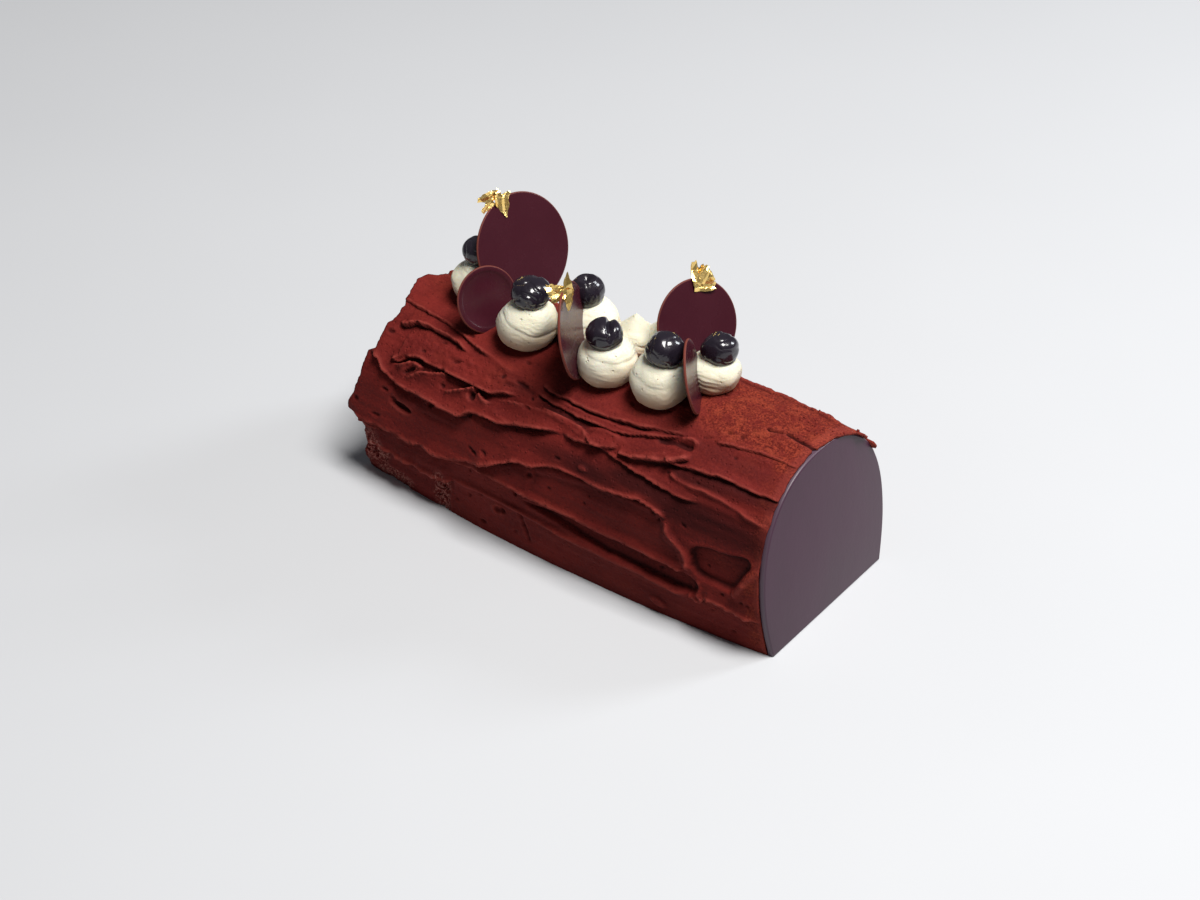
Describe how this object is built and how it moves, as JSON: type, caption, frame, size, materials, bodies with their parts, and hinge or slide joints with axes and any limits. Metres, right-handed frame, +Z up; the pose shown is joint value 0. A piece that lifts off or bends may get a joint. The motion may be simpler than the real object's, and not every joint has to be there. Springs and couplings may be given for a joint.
{
  "type": "yule log cake",
  "caption": "Arched log cake under spread chocolate mousse, a chocolate plate on each end, topped with cream kisses, glossy cherries, leaning chocolate discs and gold leaf.",
  "frame": {"origin": "middle of the cake's footprint, on the surface it rests on", "axes": "+X along the log towards the plain end with the leaning plate, +Z up, -Y the front long side"},
  "size_m": [0.2282, 0.0992, 0.128],
  "materials": {
    "mousse_coat": "matt spread chocolate mousse, reddish brown, with a velvety cocoa bloom on its crest",
    "plate_chocolate": "satin moulded chocolate with a greyish bloom",
    "disc_chocolate": "thin tempered chocolate, glossy",
    "cream": "piped cream with vanilla specks, soft satin",
    "cherry_skin": "near-black preserved cherry, wet gloss, wrinkled",
    "gold_leaf": "crumpled edible gold leaf, bright"
  },
  "bodies": {
    "root": {"log": "mousse_coat", "end_plate_front": "plate_chocolate", "end_plate_far": "plate_chocolate", "kiss_1": "cream", "kiss_2": "cream", "kiss_3": "cream", "kiss_4": "cream", "kiss_5": "cream", "kiss_6": "cream", "kiss_7": "cream", "kiss_8": "cream", "cherry_1": "cherry_skin", "cherry_2": "cherry_skin", "cherry_3": "cherry_skin", "cherry_4": "cherry_skin", "cherry_5": "cherry_skin", "cherry_6": "cherry_skin", "disc_1": "disc_chocolate", "disc_2": "disc_chocolate", "disc_3": "disc_chocolate", "disc_4": "disc_chocolate", "disc_5": "disc_chocolate", "leaf_1": "gold_leaf", "leaf_2": "gold_leaf", "leaf_3": "gold_leaf"}
  },
  "joints": []
}
